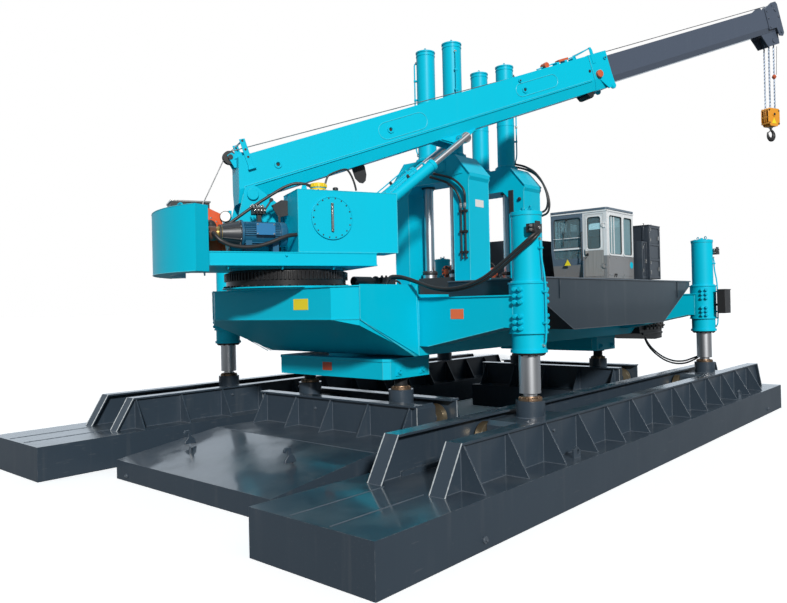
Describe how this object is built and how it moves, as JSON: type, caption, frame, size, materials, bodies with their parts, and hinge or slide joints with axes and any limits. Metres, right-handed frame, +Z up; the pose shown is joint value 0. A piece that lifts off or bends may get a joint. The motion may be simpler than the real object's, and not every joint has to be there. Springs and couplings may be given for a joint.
{
  "type": "hydraulic static pile driver rig",
  "caption": "Hydraulic static pile driver on walking pontoons, with leg cylinders, a press tower with pile clamp, a slewing telescopic crane and a driver's cab.",
  "frame": {"origin": "on the ground under the axis of the pile, at the middle of the press tower", "axes": "+X runs along the long pontoons from the crane towards the cab, +Y to the far side away from the crane boom, +Z up"},
  "size_m": [15.15, 9.5355, 9.3892],
  "materials": {
    "cyan_paint": "semi-gloss turquoise paint",
    "slate_paint": "semi-gloss dark slate paint",
    "slate_gloss": "glossy dark slate paint",
    "black_steel": "greasy black steel",
    "white_paint": "glossy off-white paint",
    "glass": "lightly tinted window glass",
    "black_plastic": "matt black vinyl and plastic",
    "black_rubber": "black rubber hose",
    "chrome": "hard chrome, oiled",
    "worn_steel": "bare steel, worn and slightly rusty",
    "red_primer": "dull rust-red primer",
    "blue_paint": "gloss blue motor enamel",
    "yellow_paint": "worn yellow-orange paint"
  },
  "bodies": {
    "machine": {"chassis": "cyan_paint", "leg_arms": "cyan_paint", "leg_cylinders": "cyan_paint", "front_portal": "cyan_paint", "rear_portal": "cyan_paint", "press_cylinders": "cyan_paint", "ballast_trays": "slate_paint", "slew_ring": "black_steel", "cab_frame": "white_paint", "cab_roof": "black_steel", "cab_glass": "glass", "cab_seat": "black_plastic", "power_platform": "slate_paint", "power_cabinets": "slate_paint", "tower_hoses": "black_rubber", "leg_hoses": "black_rubber"},
    "cab_door": {"cab_door": "white_paint", "cab_door_glass": "glass"},
    "near_legs": {"near_leg_rods": "chrome", "near_trolleys": "slate_paint"},
    "near_pontoon": {"near_pontoon": "slate_paint"},
    "near_front_wheelset_a": {"near_front_wheelset_a": "worn_steel"},
    "near_front_wheelset_b": {"near_front_wheelset_b": "worn_steel"},
    "near_rear_wheelset_a": {"near_rear_wheelset_a": "worn_steel"},
    "near_rear_wheelset_b": {"near_rear_wheelset_b": "worn_steel"},
    "far_legs": {"far_leg_rods": "chrome", "far_trolleys": "slate_paint"},
    "far_pontoon": {"far_pontoon": "slate_paint"},
    "far_front_wheelset_a": {"far_front_wheelset_a": "worn_steel"},
    "far_front_wheelset_b": {"far_front_wheelset_b": "worn_steel"},
    "far_rear_wheelset_a": {"far_rear_wheelset_a": "worn_steel"},
    "far_rear_wheelset_b": {"far_rear_wheelset_b": "worn_steel"},
    "front_carriage": {"front_turntable": "cyan_paint", "front_short_trolleys": "slate_paint"},
    "front_short_pontoon": {"front_short_pontoon": "slate_paint"},
    "front_near_short_wheelset_a": {"front_near_short_wheelset_a": "worn_steel"},
    "front_near_short_wheelset_b": {"front_near_short_wheelset_b": "worn_steel"},
    "front_far_short_wheelset_a": {"front_far_short_wheelset_a": "worn_steel"},
    "front_far_short_wheelset_b": {"front_far_short_wheelset_b": "worn_steel"},
    "rear_carriage": {"rear_turntable": "cyan_paint", "rear_short_trolleys": "slate_paint"},
    "rear_short_pontoon": {"rear_short_pontoon": "slate_paint"},
    "rear_near_short_wheelset_a": {"rear_near_short_wheelset_a": "worn_steel"},
    "rear_near_short_wheelset_b": {"rear_near_short_wheelset_b": "worn_steel"},
    "rear_far_short_wheelset_a": {"rear_far_short_wheelset_a": "worn_steel"},
    "rear_far_short_wheelset_b": {"rear_far_short_wheelset_b": "worn_steel"},
    "crane": {"crane_deck": "cyan_paint", "oil_tank": "cyan_paint", "counterweight": "cyan_paint", "winch": "red_primer", "pump_unit": "blue_paint", "crane_hoses": "black_rubber"},
    "boom": {"boom_base": "cyan_paint"},
    "boom_extension": {"boom_inner": "slate_gloss"},
    "hook": {"hook_block": "yellow_paint"},
    "lift_barrels": {"lift_barrels": "cyan_paint"},
    "lift_rods": {"lift_rods": "chrome"},
    "press": {"clamp_box": "slate_paint", "press_rods": "chrome", "clamp_rams": "red_primer"}
  },
  "joints": [
    {"name": "near_leg_lift", "type": "slide", "parent": "machine", "child": "near_legs", "axis": [0, 0, 1], "range_m": [-0.45, 0.6]},
    {"name": "near_walk", "type": "slide", "parent": "near_legs", "child": "near_pontoon", "axis": [1, 0, 0], "range_m": [-1.2, 1.75]},
    {"name": "near_front_axle_a", "type": "hinge", "parent": "near_legs", "child": "near_front_wheelset_a", "pos_m": [-4.3, -3.63, 0.7753], "axis": [0, 1, 0], "continuous": true},
    {"name": "near_front_axle_b", "type": "hinge", "parent": "near_legs", "child": "near_front_wheelset_b", "pos_m": [-3.18, -3.63, 0.7753], "axis": [0, 1, 0], "continuous": true},
    {"name": "near_rear_axle_a", "type": "hinge", "parent": "near_legs", "child": "near_rear_wheelset_a", "pos_m": [3.18, -3.63, 0.7753], "axis": [0, 1, 0], "continuous": true},
    {"name": "near_rear_axle_b", "type": "hinge", "parent": "near_legs", "child": "near_rear_wheelset_b", "pos_m": [4.3, -3.63, 0.7753], "axis": [0, 1, 0], "continuous": true},
    {"name": "far_leg_lift", "type": "slide", "parent": "machine", "child": "far_legs", "axis": [0, 0, 1], "range_m": [-0.45, 0.6]},
    {"name": "far_walk", "type": "slide", "parent": "far_legs", "child": "far_pontoon", "axis": [1, 0, 0], "range_m": [-1.2, 1.75]},
    {"name": "far_front_axle_a", "type": "hinge", "parent": "far_legs", "child": "far_front_wheelset_a", "pos_m": [-4.3, 3.63, 0.7753], "axis": [0, 1, 0], "continuous": true},
    {"name": "far_front_axle_b", "type": "hinge", "parent": "far_legs", "child": "far_front_wheelset_b", "pos_m": [-3.18, 3.63, 0.7753], "axis": [0, 1, 0], "continuous": true},
    {"name": "far_rear_axle_a", "type": "hinge", "parent": "far_legs", "child": "far_rear_wheelset_a", "pos_m": [3.18, 3.63, 0.7753], "axis": [0, 1, 0], "continuous": true},
    {"name": "far_rear_axle_b", "type": "hinge", "parent": "far_legs", "child": "far_rear_wheelset_b", "pos_m": [4.3, 3.63, 0.7753], "axis": [0, 1, 0], "continuous": true},
    {"name": "front_turn", "type": "hinge", "parent": "machine", "child": "front_carriage", "pos_m": [-3.69, 0, 1.83], "axis": [0, 0, 1], "range_deg": [-7.5, 7.5]},
    {"name": "front_shift", "type": "slide", "parent": "front_carriage", "child": "front_short_pontoon", "axis": [0, 1, 0], "range_m": [-0.3, 0.3]},
    {"name": "front_near_short_axle_a", "type": "hinge", "parent": "front_carriage", "child": "front_near_short_wheelset_a", "pos_m": [-3.69, -1.53, 0.7753], "axis": [1, 0, 0], "continuous": true},
    {"name": "front_near_short_axle_b", "type": "hinge", "parent": "front_carriage", "child": "front_near_short_wheelset_b", "pos_m": [-3.69, -0.73, 0.7753], "axis": [1, 0, 0], "continuous": true},
    {"name": "front_far_short_axle_a", "type": "hinge", "parent": "front_carriage", "child": "front_far_short_wheelset_a", "pos_m": [-3.69, 0.73, 0.7753], "axis": [1, 0, 0], "continuous": true},
    {"name": "front_far_short_axle_b", "type": "hinge", "parent": "front_carriage", "child": "front_far_short_wheelset_b", "pos_m": [-3.69, 1.53, 0.7753], "axis": [1, 0, 0], "continuous": true},
    {"name": "rear_turn", "type": "hinge", "parent": "machine", "child": "rear_carriage", "pos_m": [3.69, 0, 1.83], "axis": [0, 0, 1], "range_deg": [-7.5, 7.5]},
    {"name": "rear_shift", "type": "slide", "parent": "rear_carriage", "child": "rear_short_pontoon", "axis": [0, 1, 0], "range_m": [-0.3, 0.3]},
    {"name": "rear_near_short_axle_a", "type": "hinge", "parent": "rear_carriage", "child": "rear_near_short_wheelset_a", "pos_m": [3.69, -1.53, 0.7753], "axis": [1, 0, 0], "continuous": true},
    {"name": "rear_near_short_axle_b", "type": "hinge", "parent": "rear_carriage", "child": "rear_near_short_wheelset_b", "pos_m": [3.69, -0.73, 0.7753], "axis": [1, 0, 0], "continuous": true},
    {"name": "rear_far_short_axle_a", "type": "hinge", "parent": "rear_carriage", "child": "rear_far_short_wheelset_a", "pos_m": [3.69, 0.73, 0.7753], "axis": [1, 0, 0], "continuous": true},
    {"name": "rear_far_short_axle_b", "type": "hinge", "parent": "rear_carriage", "child": "rear_far_short_wheelset_b", "pos_m": [3.69, 1.53, 0.7753], "axis": [1, 0, 0], "continuous": true},
    {"name": "crane_slew", "type": "hinge", "parent": "machine", "child": "crane", "pos_m": [-5.16, 0, 3.25], "axis": [0, 0, -1], "range_deg": [0, 312]},
    {"name": "boom_luff", "type": "hinge", "parent": "crane", "child": "boom", "pos_m": [-5.70813, 0.24404, 4.44], "axis": [0.4067, 0.9135, 0], "range_deg": [-50, 20]},
    {"name": "boom_telescope", "type": "slide", "parent": "boom", "child": "boom_extension", "axis": [0.8611, -0.3834, 0.3338], "range_m": [-4.6, 0.7]},
    {"name": "hook_swing", "type": "hinge", "parent": "boom_extension", "child": "hook", "pos_m": [5.37553, -4.69072, 8.5242], "axis": [0.4067, 0.9135, 0], "range_deg": [-21, 51]},
    {"name": "lift_barrel_swing", "type": "hinge", "parent": "crane", "child": "lift_barrels", "pos_m": [-4.39262, -0.34166, 3.75], "axis": [0.4067, 0.9135, 0], "range_deg": [-60, 30]},
    {"name": "lift_rod_slide", "type": "slide", "parent": "lift_barrels", "child": "lift_rods", "axis": [0.719, -0.3201, 0.6169], "range_m": [-0.7, 1.6]},
    {"name": "press_stroke", "type": "slide", "parent": "machine", "child": "press", "axis": [0, 0, 1], "range_m": [0, 1.6]},
    {"name": "cab_door_swing", "type": "hinge", "parent": "machine", "child": "cab_door", "pos_m": [2.864, -1.721, 3.95], "axis": [0, 0, 1], "range_deg": [0, 100]}
  ],
  "couplings": [
    {"joint": "hook_swing", "follows": "boom_luff", "ratio": -1},
    {"joint": "lift_barrel_swing", "follows": "boom_luff", "ratio": 1.075},
    {"joint": "lift_rod_slide", "follows": "boom_luff", "m_per_rad": -1.435}
  ]
}
